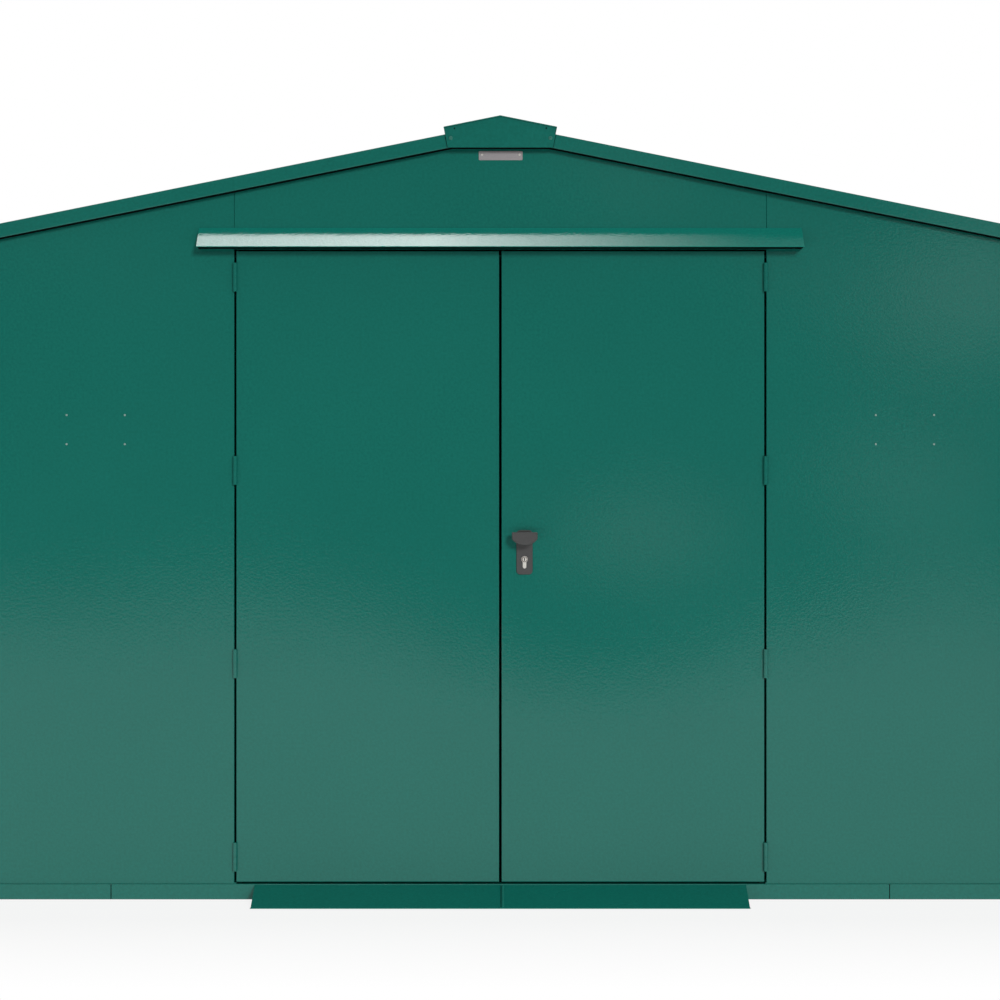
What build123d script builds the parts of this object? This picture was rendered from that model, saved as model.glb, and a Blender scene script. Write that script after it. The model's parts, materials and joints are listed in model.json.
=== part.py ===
from build123d import *
import os
from math import cos, radians, sin, tan

# Steel storage shed: folded panels on a low base frame, gable front, double doors.
# X runs along the front, Y from front to back, Z up. Sizes are in millimetres.

# Overall sizes
module = 1115.0
width = 3 * module
depth = 3 * module
eaves_drop = 6.0
pitch = 11.32

# Sheet work
sheet = 1.2
bend = 2.2
wall_depth = 36.0
wall_lip = 14.0
seam = 0.3
seat = 0.3

# Base frame
base_sheet = 1.5
base_height = 44.0
base_proud = 6.0
base_top_flange = 66.0
base_foot_flange = 30.0
base_seam = 1.4
floor_inset = 5.0
floor_lap_gap = 0.3
floor_rib_width = 90.0
floor_rib_count = 3

# Doors
leaf_pitch = 760.0
hinge_gap = 6.0
meeting_gap = 7.0
leaf_depth = 30.0
leaf_clearance = 5.0
door_height = 1809.0
leaf_lip = 16.0
stiffener_width = 60.0
stiffener_depth = 24.0
stiffener_count = 4
stop_overlap = 12.0
post_width = 58.0
post_depth = 22.0

# Hinges
hinge_count = 4
hinge_length = 82.0
hinge_low_margin = 73.0
hinge_high_margin = 76.0
barrel_radius = 6.2
pin_radius = 3.5
pin_clearance = 0.2
knuckle_gap = 0.5
hinge_plate = 1.5
hinge_plate_depth = 24.0

# Ramp
ramp_reach = 138.0
ramp_half_width = 704.0
ramp_toe_half_width = 699.0
ramp_sheet = 2.0
ramp_drop = 2.5
ramp_seam = 0.15

# Roof
roof_depth = 30.0
roof_overhang = 30.0
roof_lip = 72.0
verge_face = 40.8
verge_flange = 42.0
cap_half_width = 162.0
cap_rise = 21.0
cap_end_depth = 60.0
cap_overhang = 7.5
cap_end_inset = 3.5

# Rain hood
hood_half_width = 864.0
hood_rise = 61.0
hood_reach = 55.0
hood_nose = 2.0

# Lock
lock_offset = 65.9
lock_plate_width = 46.0
lock_plate_height = 127.0
lock_plate_thickness = 4.0
lock_plate_drop = 41.0
lock_corner = 11.0
knob_height = 1035.0
knob_half_width = 36.5
knob_rise = 17.0
knob_side = 19.0
knob_belly = 18.2
knob_corner = 2.5
knob_thickness = 22.0
knob_standoff = 24.0
knob_chamfer = 2.0
neck_radius = 12.0
spindle_radius = 4.0
spindle_clearance = 0.4
cylinder_radius = 9.0
cylinder_stem = 10.0
cylinder_tall = 35.0
cylinder_drop = 61.0
cylinder_proud = 5.0
case_width = 62.0
case_height = 150.0
case_thickness = 16.0
leaf_cutout = 12.0

# Derived places
slope = tan(radians(pitch))
front = -depth / 2
door_bottom = base_height + leaf_clearance
door_top = door_bottom + door_height
head_bottom = door_top + leaf_clearance
hood_top = head_bottom + hood_rise
eaves_height = door_top - eaves_drop
ridge_wall = eaves_height + width / 2 * slope
roof_rise = roof_depth / cos(radians(pitch))
roof_top = ridge_wall + seat + roof_rise
trim_top = roof_top + seat + sheet / cos(radians(pitch))
leaf_width = leaf_pitch - hinge_gap / 2 - meeting_gap / 2
opening_half = leaf_pitch + hinge_gap / 2
hinge_axis_y = front - barrel_radius - seat
lock_x = meeting_gap / 2 + lock_offset
lock_plate_centre = knob_height - lock_plate_drop
cylinder_top = knob_height - cylinder_drop
hinge_first = door_bottom + hinge_low_margin
hinge_last = door_top - hinge_high_margin
hinge_pitch = (hinge_last - hinge_first) / (hinge_count - 1)
hinge_heights = [hinge_first + step * hinge_pitch for step in range(hinge_count)]

front_face = Plane(origin=(0, front, 0), x_dir=(1, 0, 0), z_dir=(0, -1, 0))
back_face = Plane(origin=(0, -front, 0), x_dir=(-1, 0, 0), z_dir=(0, 1, 0))
right_face = Plane(origin=(width / 2, 0, 0), x_dir=(0, 1, 0), z_dir=(1, 0, 0))
left_face = Plane(origin=(-width / 2, 0, 0), x_dir=(0, -1, 0), z_dir=(-1, 0, 0))
right_slope = Plane(
    origin=(0, 0, roof_top),
    x_dir=(0, 1, 0),
    z_dir=(sin(radians(pitch)), 0, cos(radians(pitch))),
)


def gable_outline(start, end, bottom):
    """A wall panel's outline from start to end, its top along the roof slope."""
    low = eaves_height + (width / 2 - abs(start)) * slope
    high = eaves_height + (width / 2 - abs(end)) * slope
    with BuildSketch() as outline:
        with BuildLine():
            Polyline((start, low), (start, bottom), (end, bottom), (end, high))
            if start * end < 0:
                Polyline((start, low), (0, ridge_wall), (end, high))
            else:
                Line((start, low), (end, high))
        make_face()
    return outline.sketch


def plain_outline(start, end, bottom, top):
    """A rectangular panel's outline."""
    with BuildSketch() as outline:
        with Locations(((start + end) / 2, (bottom + top) / 2)):
            Rectangle(end - start, top - bottom)
    return outline.sketch


def folded_panel(plane, outline, fold_depth, lip, rounded=True):
    """A sheet folded back on all sides, with lips turned in behind it."""
    with BuildPart() as panel:
        with BuildSketch(plane):
            add(outline)
        extrude(amount=-fold_depth)
        if rounded:
            skin = panel.faces().sort_by(Axis(plane.origin, plane.z_dir))[-1]
            fillet(skin.edges(), bend)
        with BuildSketch(plane.offset(-sheet)):
            offset(outline, amount=-sheet, kind=Kind.INTERSECTION)
        extrude(amount=2 * sheet - fold_depth, mode=Mode.SUBTRACT)
        with BuildSketch(plane.offset(-fold_depth)):
            offset(outline, amount=-lip, kind=Kind.INTERSECTION)
        extrude(amount=sheet, mode=Mode.SUBTRACT)
    return panel.part


def hat_rib(plane, rib_width, rib_depth, length):
    """A folded rib along the plane's normal, open towards the sheet that it stiffens."""
    with BuildPart() as rib:
        with BuildSketch(plane):
            with BuildLine():
                section = Polyline(
                    (-rib_width / 2, 0),
                    (-rib_width / 3, -rib_depth),
                    (rib_width / 3, -rib_depth),
                    (rib_width / 2, 0),
                )
                offset(section, amount=-sheet, side=Side.LEFT)
            make_face()
        extrude(amount=length)
    return rib.part


def rail_profile():
    """The base rail's section: a web with a top flange and a foot flange turned in."""
    with BuildSketch() as profile:
        with BuildLine():
            rail = FilletPolyline(
                (base_foot_flange, 0), (0, 0), (0, base_height), (base_top_flange, base_height),
                radius=bend,
            )
            offset(rail, amount=-base_sheet, side=Side.RIGHT)
        make_face()
    return profile.sketch


# Base rails, mitred at the corners
outer_half = width / 2 + base_proud
corner_cut = Plane(origin=(-outer_half, 0, 0), z_dir=(1, -1, 0))
far_corner_cut = Plane(origin=(outer_half, 0, 0), z_dir=(-1, -1, 0))

with BuildPart() as long_rail:
    with BuildSketch(Plane.YZ):
        add(rail_profile())
    extrude(amount=outer_half, both=True)
    split(bisect_by=corner_cut.offset(seam / 2), keep=Keep.TOP)
    split(bisect_by=far_corner_cut.offset(seam / 2), keep=Keep.TOP)

rail_start = Location((0, front - base_proud, 0))

with BuildPart() as base_front_centre:
    add(long_rail.part.moved(rail_start))
    split(bisect_by=Plane.YZ.offset(module - base_seam / 2), keep=Keep.BOTTOM)
    split(bisect_by=Plane.YZ.offset(base_seam / 2 - module), keep=Keep.TOP)

with BuildPart() as base_front_right:
    add(long_rail.part.moved(rail_start))
    split(bisect_by=Plane.YZ.offset(module + base_seam / 2), keep=Keep.TOP)

with BuildPart() as base_front_left:
    add(mirror(base_front_right.part, about=Plane.YZ))

with BuildPart() as base_back:
    add(long_rail.part.moved(rail_start).moved(Rotation(0, 0, 180)))

with BuildPart() as base_right:
    add(long_rail.part.moved(rail_start).moved(Rotation(0, 0, 90)))

with BuildPart() as base_left:
    add(long_rail.part.moved(rail_start).moved(Rotation(0, 0, -90)))

# Floor trays, lapped under the base rails' top flanges
floor_half = outer_half - base_sheet - base_foot_flange - floor_inset
floor_top = base_height - base_sheet - floor_lap_gap
tray_width = 2 * floor_half / 3


def floor_tray(place):
    """One of three trays with ribs beneath, place counted from the middle one."""
    middle = place * tray_width
    edge = tray_width / 2 - seam / 2
    outline = plain_outline(middle - edge, middle + edge, -floor_half, floor_half)
    with BuildPart() as tray:
        add(folded_panel(Plane.XY.offset(floor_top), outline, floor_top, wall_lip, rounded=False))
        for step in range(floor_rib_count):
            across = middle + tray_width * ((step + 0.5) / floor_rib_count - 0.5)
            start = Plane(
                origin=(across, floor_half - sheet, floor_top - sheet),
                x_dir=(1, 0, 0),
                z_dir=(0, -1, 0),
            )
            add(hat_rib(start, floor_rib_width, floor_top - sheet, 2 * floor_half - 2 * sheet))
    return tray.part


with BuildPart() as floor_left:
    add(floor_tray(-1))

with BuildPart() as floor_middle:
    add(floor_tray(0))

with BuildPart() as floor_right:
    add(floor_tray(1))

# Ramp in two halves, a folded wedge with ribs beneath
ramp_front = front - base_proud - seat
ramp_side = Plane(
    origin=(ramp_half_width, ramp_front, 0),
    z_dir=(ramp_reach, ramp_toe_half_width - ramp_half_width, 0),
)

with BuildPart() as ramp_right:
    with BuildSketch(Plane.YZ.offset(ramp_seam)):
        with BuildLine():
            Polyline(
                (ramp_front, 0),
                (ramp_front, base_height - ramp_drop),
                (ramp_front - ramp_reach, ramp_sheet),
                (ramp_front - ramp_reach, 0),
                close=True,
            )
        make_face()
    extrude(amount=ramp_half_width)
    split(bisect_by=ramp_side, keep=Keep.BOTTOM)
    bottom = ramp_right.faces().sort_by(Axis.Z)[0]
    offset(amount=-ramp_sheet, openings=bottom)

with BuildPart() as ramp_left:
    add(mirror(ramp_right.part, about=Plane.YZ))


# Lift-off hinges: a knuckle and the pin on the frame, a knuckle on the leaf above it
knuckle = hinge_length / 2 - knuckle_gap / 2
knuckle_middle = (hinge_length + knuckle_gap) / 4
plate_reach = barrel_radius + seat + hinge_plate_depth

with BuildPart() as frame_hinge:
    with Locations((0, 0, -knuckle_middle)):
        Cylinder(barrel_radius, knuckle)
        with Locations((hinge_gap / 2 - hinge_plate / 2, plate_reach / 2, 0)):
            Box(hinge_plate, plate_reach, knuckle)
    Cylinder(pin_radius, hinge_length)

with BuildPart() as leaf_hinge:
    with Locations((0, 0, knuckle_middle)):
        Cylinder(barrel_radius, knuckle)
        with Locations((hinge_plate / 2 - hinge_gap / 2, plate_reach / 2, 0)):
            Box(hinge_plate, plate_reach, knuckle)
        Cylinder(pin_radius + pin_clearance, knuckle, mode=Mode.SUBTRACT)

hinge_places = [Location((leaf_pitch, hinge_axis_y, height)) for height in hinge_heights]

# Front wall: a panel each side of the doors and the gable panel above them
with BuildPart() as front_wall_right:
    add(folded_panel(
        front_face,
        gable_outline(opening_half, width / 2, base_height + seat),
        wall_depth,
        wall_lip,
    ))
    for place in hinge_places:
        add(frame_hinge.part.moved(place))

with BuildPart() as front_wall_left:
    add(mirror(front_wall_right.part, about=Plane.YZ))

with BuildPart() as front_header:
    add(folded_panel(
        front_face,
        gable_outline(seam - opening_half, opening_half - seam, head_bottom),
        wall_depth,
        wall_lip,
    ))

# Door frame behind the panels: two posts and a head that the leaves close towards
post_inner = leaf_pitch - hinge_gap / 2 - stop_overlap
stop_bottom = door_top - stop_overlap
frame_face = front_face.offset(-wall_depth - seat)

with BuildPart() as door_post_right:
    add(folded_panel(
        frame_face,
        plain_outline(post_inner, post_inner + post_width, base_height + seat, stop_bottom - seam),
        post_depth,
        wall_lip,
        rounded=False,
    ))

with BuildPart() as door_post_left:
    add(mirror(door_post_right.part, about=Plane.YZ))

with BuildPart() as door_head:
    add(folded_panel(
        frame_face,
        plain_outline(
            -post_inner - post_width, post_inner + post_width, stop_bottom, stop_bottom + post_width
        ),
        post_depth,
        wall_lip,
        rounded=False,
    ))

# Side walls, between the corner folds of the front and back panels
side_half = depth / 2 - wall_depth - seam
side_panel = 2 * side_half / 3


def side_wall(plane, place):
    """One of three side panels, place counted from the middle one."""
    middle = place * side_panel
    edge = side_panel / 2 - seam / 2
    outline = plain_outline(middle - edge, middle + edge, base_height + seat, eaves_height)
    return folded_panel(plane, outline, wall_depth, wall_lip)


with BuildPart() as side_wall_right_front:
    add(side_wall(right_face, -1))

with BuildPart() as side_wall_right_middle:
    add(side_wall(right_face, 0))

with BuildPart() as side_wall_right_rear:
    add(side_wall(right_face, 1))

with BuildPart() as side_wall_left_front:
    add(side_wall(left_face, 1))

with BuildPart() as side_wall_left_middle:
    add(side_wall(left_face, 0))

with BuildPart() as side_wall_left_rear:
    add(side_wall(left_face, -1))

# Back wall in three panels
with BuildPart() as back_wall_middle:
    add(folded_panel(
        back_face,
        gable_outline(seam / 2 - module / 2, module / 2 - seam / 2, base_height + seat),
        wall_depth,
        wall_lip,
    ))

with BuildPart() as back_wall_left:
    add(folded_panel(
        back_face,
        gable_outline(module / 2 + seam / 2, width / 2, base_height + seat),
        wall_depth,
        wall_lip,
    ))

with BuildPart() as back_wall_right:
    add(mirror(back_wall_left.part, about=Plane.YZ))

# Roof panels, their inner lips resting on the walls
ridge_start = roof_depth * tan(radians(pitch)) + seam
trim_line = roof_overhang - sheet - seat
slope_length = (width / 2 + trim_line) / cos(radians(pitch))


def roof_panel(start, end):
    """A panel of the right slope between two places along the ridge."""
    outline = plain_outline(start, end, -slope_length, -ridge_start)
    return folded_panel(right_slope, outline, roof_depth, roof_lip, rounded=False)


roof_edge = depth / 2 + trim_line

with BuildPart() as roof_right_front:
    add(roof_panel(-roof_edge, -module / 2 - seam / 2))

with BuildPart() as roof_right_middle:
    add(roof_panel(seam / 2 - module / 2, module / 2 - seam / 2))

with BuildPart() as roof_right_rear:
    add(roof_panel(module / 2 + seam / 2, roof_edge))

with BuildPart() as roof_left_front:
    add(mirror(roof_right_front.part, about=Plane.YZ))

with BuildPart() as roof_left_middle:
    add(mirror(roof_right_middle.part, about=Plane.YZ))

with BuildPart() as roof_left_rear:
    add(mirror(roof_right_rear.part, about=Plane.YZ))

# Verge trims along the gables and eaves trims along the sides, mitred together
trim_x = width / 2 + roof_overhang
trim_y = front - roof_overhang
mitre_right = Plane(origin=(trim_x, trim_y, 0), z_dir=(-1, -1, 0))

verge_plane = Plane(
    origin=(0, 0, trim_top),
    x_dir=(0, 1, 0),
    z_dir=(cos(radians(pitch)), 0, -sin(radians(pitch))),
)
verge_drop = verge_face * cos(radians(pitch))

with BuildPart() as verge_front_right:
    with BuildSketch(verge_plane.offset(-verge_face)):
        with BuildLine():
            verge = FilletPolyline(
                (trim_y + verge_flange, 0),
                (trim_y, 0),
                (trim_y, -verge_drop),
                (front - seat, -verge_drop),
                radius=bend,
            )
            offset(verge, amount=-sheet, side=Side.LEFT)
        make_face()
    extrude(amount=width)
    split(bisect_by=Plane.YZ.offset(seam / 2), keep=Keep.TOP)
    split(bisect_by=mitre_right.offset(seam / 2), keep=Keep.TOP)

with BuildPart() as verge_front_left:
    add(mirror(verge_front_right.part, about=Plane.YZ))

with BuildPart() as verge_back_right:
    add(mirror(verge_front_right.part, about=Plane.XZ))

with BuildPart() as verge_back_left:
    add(mirror(verge_back_right.part, about=Plane.YZ))

with BuildPart() as eaves_right:
    with BuildSketch(Plane.XZ):
        with BuildLine():
            eaves_trim_top = trim_top - trim_x * slope
            fascia = FilletPolyline(
                (trim_x - verge_flange, eaves_trim_top + verge_flange * slope),
                (trim_x, eaves_trim_top),
                (trim_x, eaves_trim_top - verge_face),
                (width / 2 + seat, eaves_trim_top - verge_face),
                radius=bend,
            )
            offset(fascia, amount=-sheet, side=Side.RIGHT)
        make_face()
    extrude(amount=depth, both=True)
    split(bisect_by=mitre_right.offset(-seam / 2), keep=Keep.BOTTOM)
    split(bisect_by=Plane(origin=(trim_x, -trim_y, 0), z_dir=(-1, 1, 0)).offset(-seam / 2),
          keep=Keep.BOTTOM)

with BuildPart() as eaves_left:
    add(mirror(eaves_right.part, about=Plane.YZ))

# Ridge cap with a closed plate at each end
cap_apex = trim_top + cap_rise
cap_corner = cap_apex - cap_half_width * slope
cap_edge = (cap_rise - seat) / (cos(radians(pitch)) + sin(radians(pitch)) * slope)
edge_x = cap_half_width - cap_edge * sin(radians(pitch))
edge_z = cap_corner - cap_edge * cos(radians(pitch))
end_x = cap_half_width - cap_end_depth * sin(radians(pitch))
end_z = cap_corner - cap_end_depth * cos(radians(pitch))
cap_half_length = depth / 2 + roof_overhang + cap_overhang
cap_plate_face = cap_half_length - cap_end_inset

with BuildPart() as ridge_cap:
    with BuildSketch(Plane.XZ):
        with BuildLine():
            cap = FilletPolyline(
                (-edge_x, edge_z),
                (-cap_half_width, cap_corner),
                (0, cap_apex),
                (cap_half_width, cap_corner),
                (edge_x, edge_z),
                radius=bend,
            )
            offset(cap, amount=-sheet, side=Side.RIGHT)
        make_face()
    extrude(amount=cap_half_length, both=True)
    for end in (-1, 1):
        with BuildSketch(Plane.XZ.offset(end * cap_plate_face)):
            with BuildLine():
                Polyline(
                    (-end_x, end_z),
                    (-cap_half_width, cap_corner),
                    (0, cap_apex),
                    (cap_half_width, cap_corner),
                    (end_x, end_z),
                    close=True,
                )
            make_face()
        extrude(amount=-end * sheet)

# Rain hood over the doors, with closed ends
with BuildPart() as rain_hood:
    with BuildSketch(Plane.YZ.offset(-hood_half_width)):
        with BuildLine():
            Polyline(
                (front - seat, head_bottom),
                (front - seat, hood_top),
                (front - seat - sheet, hood_top),
                (front - hood_reach, head_bottom + hood_nose),
                (front - hood_reach, head_bottom),
                close=True,
            )
        make_face()
    extrude(amount=2 * hood_half_width)
    underside = rain_hood.faces().sort_by(Axis.Z)[0]
    offset(amount=-sheet, openings=underside)

# Door leaves: folded panels with cross stiffeners and welded hinge knuckles
leaf_start = meeting_gap / 2
leaf_end = leaf_start + leaf_width


def plain_leaf():
    """The right leaf without the lock holes."""
    outline = plain_outline(leaf_start, leaf_end, door_bottom, door_top)
    with BuildPart() as leaf:
        add(folded_panel(front_face, outline, leaf_depth, leaf_lip))
        for step in range(stiffener_count):
            height = door_bottom + door_height * (step + 0.5) / stiffener_count
            start = Plane(
                origin=(leaf_start + sheet, front + sheet, height),
                x_dir=(0, 0, 1),
                z_dir=(1, 0, 0),
            )
            add(hat_rib(start, stiffener_width, stiffener_depth, leaf_width - 2 * sheet))
        for place in hinge_places:
            add(leaf_hinge.part.moved(place))
    return leaf.part


def cylinder_outline(grow):
    """The profile cylinder's section: a round head over a narrow rounded stem."""
    with BuildSketch() as outline:
        with Locations((lock_x, cylinder_top)):
            Circle(cylinder_radius + grow)
        stem_length = cylinder_tall - cylinder_radius
        with Locations((lock_x, cylinder_top - stem_length / 2)):
            SlotCenterToCenter(
                stem_length - cylinder_stem, cylinder_stem + 2 * grow, rotation=90
            )
    return outline.sketch


def lock_cutout():
    """The square-cut openings that the lock plate covers: for the cylinder and for the spindle."""
    with BuildSketch() as cutout:
        with Locations((lock_x, cylinder_top + cylinder_radius + seat)):
            Rectangle(
                2 * cylinder_radius + 2 * seat,
                cylinder_tall + 2 * seat,
                align=(Align.CENTER, Align.MAX),
            )
        with Locations((lock_x, knob_height)):
            Rectangle(leaf_cutout, leaf_cutout)
    return cutout.sketch


with BuildPart() as door_leaf_left:
    add(mirror(plain_leaf(), about=Plane.YZ))

with BuildPart() as door_leaf_right:
    add(plain_leaf())
    with BuildSketch(front_face):
        add(lock_cutout())
    extrude(amount=-leaf_depth / 2, mode=Mode.SUBTRACT)

# Lock: plate, profile cylinder, case behind and the half-moon turning knob
plate_face = front_face.offset(seat + lock_plate_thickness)

with BuildPart() as lock_plate:
    with BuildSketch(plate_face):
        with Locations((lock_x, lock_plate_centre)):
            RectangleRounded(lock_plate_width, lock_plate_height, lock_corner)
    extrude(amount=-lock_plate_thickness)
    chamfer(lock_plate.faces().sort_by(Axis.Y)[0].edges(), 1.0)
    with BuildSketch(plate_face):
        add(cylinder_outline(seat))
        with Locations((lock_x, knob_height)):
            Circle(spindle_radius + spindle_clearance)
    extrude(amount=-lock_plate_thickness, mode=Mode.SUBTRACT)

with BuildPart() as lock_cylinder:
    with BuildSketch(plate_face.offset(cylinder_proud)):
        add(cylinder_outline(0))
    extrude(amount=-cylinder_proud - lock_plate_thickness - seat - leaf_depth / 2)

with BuildPart() as lock_case:
    with BuildSketch(front_face.offset(-sheet - seat)):
        with Locations((lock_x, lock_plate_centre)):
            Rectangle(case_width, case_height)
    extrude(amount=-case_thickness)
    with BuildSketch(front_face):
        add(lock_cutout())
    extrude(amount=-leaf_depth, mode=Mode.SUBTRACT)

knob_top = knob_height + knob_rise
knob_shoulder = knob_top - knob_side

with BuildPart() as lock_knob:
    with BuildSketch(plate_face.offset(knob_standoff)):
        with BuildLine():
            Polyline(
                (lock_x + knob_half_width, knob_shoulder),
                (lock_x + knob_half_width, knob_top),
                (lock_x - knob_half_width, knob_top),
                (lock_x - knob_half_width, knob_shoulder),
            )
            ThreePointArc(
                (lock_x - knob_half_width, knob_shoulder),
                (lock_x, knob_shoulder - knob_belly),
                (lock_x + knob_half_width, knob_shoulder),
            )
        face = make_face()
        fillet(face.vertices().group_by(Axis.Y)[-1], knob_corner)
    extrude(amount=knob_thickness)
    chamfer(lock_knob.faces().sort_by(Axis.Y)[0].edges(), knob_chamfer)
    with BuildSketch(plate_face.offset(knob_standoff)):
        with Locations((lock_x, knob_height)):
            Circle(neck_radius)
    extrude(amount=seat - knob_standoff)
    with BuildSketch(plate_face.offset(knob_standoff)):
        with Locations((lock_x, knob_height)):
            Circle(spindle_radius)
    extrude(amount=-knob_standoff - lock_plate_thickness - leaf_depth / 2)

parts = {
    "base_front_left": base_front_left,
    "base_front_centre": base_front_centre,
    "base_front_right": base_front_right,
    "base_left": base_left,
    "base_right": base_right,
    "base_back": base_back,
    "floor_left": floor_left,
    "floor_middle": floor_middle,
    "floor_right": floor_right,
    "ramp_left": ramp_left,
    "ramp_right": ramp_right,
    "front_wall_left": front_wall_left,
    "front_wall_right": front_wall_right,
    "front_header": front_header,
    "door_post_left": door_post_left,
    "door_post_right": door_post_right,
    "door_head": door_head,
    "side_wall_left_front": side_wall_left_front,
    "side_wall_left_middle": side_wall_left_middle,
    "side_wall_left_rear": side_wall_left_rear,
    "side_wall_right_front": side_wall_right_front,
    "side_wall_right_middle": side_wall_right_middle,
    "side_wall_right_rear": side_wall_right_rear,
    "back_wall_left": back_wall_left,
    "back_wall_middle": back_wall_middle,
    "back_wall_right": back_wall_right,
    "roof_left_front": roof_left_front,
    "roof_left_middle": roof_left_middle,
    "roof_left_rear": roof_left_rear,
    "roof_right_front": roof_right_front,
    "roof_right_middle": roof_right_middle,
    "roof_right_rear": roof_right_rear,
    "verge_front_left": verge_front_left,
    "verge_front_right": verge_front_right,
    "verge_back_left": verge_back_left,
    "verge_back_right": verge_back_right,
    "eaves_left": eaves_left,
    "eaves_right": eaves_right,
    "ridge_cap": ridge_cap,
    "rain_hood": rain_hood,
    "door_leaf_left": door_leaf_left,
    "door_leaf_right": door_leaf_right,
    "lock_plate": lock_plate,
    "lock_cylinder": lock_cylinder,
    "lock_case": lock_case,
    "lock_knob": lock_knob,
}

os.makedirs("parts", exist_ok=True)
for name, piece in parts.items():
    piece.part.label = name
    export_step(piece.part, f"parts/{name}.step")
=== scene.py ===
"""Looks of the steel storage shed: finishes, small fasteners, strips, studio and camera.

Everything is in metres in the row's frame: X along the front, Y from front to back, Z up.
"""

import json
import logging
import math
from dataclasses import dataclass, field
from enum import Enum
from typing import Any

import bpy
import numpy as np
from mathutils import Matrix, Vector

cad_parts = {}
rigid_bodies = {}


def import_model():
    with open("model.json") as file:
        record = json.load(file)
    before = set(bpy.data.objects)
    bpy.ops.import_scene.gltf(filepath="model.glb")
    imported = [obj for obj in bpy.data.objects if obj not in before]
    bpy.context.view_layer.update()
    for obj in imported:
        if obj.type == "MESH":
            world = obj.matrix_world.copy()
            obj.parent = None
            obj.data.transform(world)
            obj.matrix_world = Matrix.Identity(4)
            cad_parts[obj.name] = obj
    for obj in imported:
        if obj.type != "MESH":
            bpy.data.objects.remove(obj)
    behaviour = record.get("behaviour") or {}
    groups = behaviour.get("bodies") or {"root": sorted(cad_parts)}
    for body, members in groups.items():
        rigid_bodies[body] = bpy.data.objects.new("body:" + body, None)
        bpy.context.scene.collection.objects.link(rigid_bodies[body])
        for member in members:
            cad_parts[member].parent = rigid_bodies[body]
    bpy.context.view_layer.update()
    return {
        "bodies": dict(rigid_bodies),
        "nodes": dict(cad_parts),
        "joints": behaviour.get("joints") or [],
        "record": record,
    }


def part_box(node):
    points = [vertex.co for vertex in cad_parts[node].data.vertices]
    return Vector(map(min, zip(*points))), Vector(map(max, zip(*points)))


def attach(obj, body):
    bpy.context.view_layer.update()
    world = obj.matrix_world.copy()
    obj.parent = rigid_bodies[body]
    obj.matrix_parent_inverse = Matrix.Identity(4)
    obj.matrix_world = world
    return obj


log = logging.getLogger("shed")

Point = tuple[float, float, float]
Pair = tuple[float, float]
Socket = bpy.types.NodeSocket

MILLIMETRE = 0.001
WHITE = (1.0, 1.0, 1.0, 1.0)
NOISE_RANGE = (0.3, 0.7)
FULL_RANGE = (0.0, 1.0)
CAP_END_INSET = 3.5 * MILLIMETRE
ENDS = (("front", -1.0), ("back", 1.0))
SIDES = (("left", -1.0), ("right", 1.0))


def linear(hex_colour: str) -> tuple[float, float, float, float]:
    """Turns an sRGB hex colour into linear light.

    Each channel c becomes c / 12.92 below 0.04045, and ((c + 0.055) / 1.055) ** 2.4 above.

    Args:
        hex_colour: Six hex digits.

    Returns:
        Red, green, blue and an alpha of 1.
    """
    channels = [int(hex_colour[i : i + 2], 16) / 255 for i in (0, 2, 4)]
    red, green, blue = (
        c / 12.92 if c <= 0.04045 else ((c + 0.055) / 1.055) ** 2.4 for c in channels
    )
    return red, green, blue, 1.0


def pattern_scale(millimetres: float) -> float:
    """Noise scale, in features per metre, whose features are that many millimetres apart."""
    return 1.0 / (millimetres * MILLIMETRE)


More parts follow.
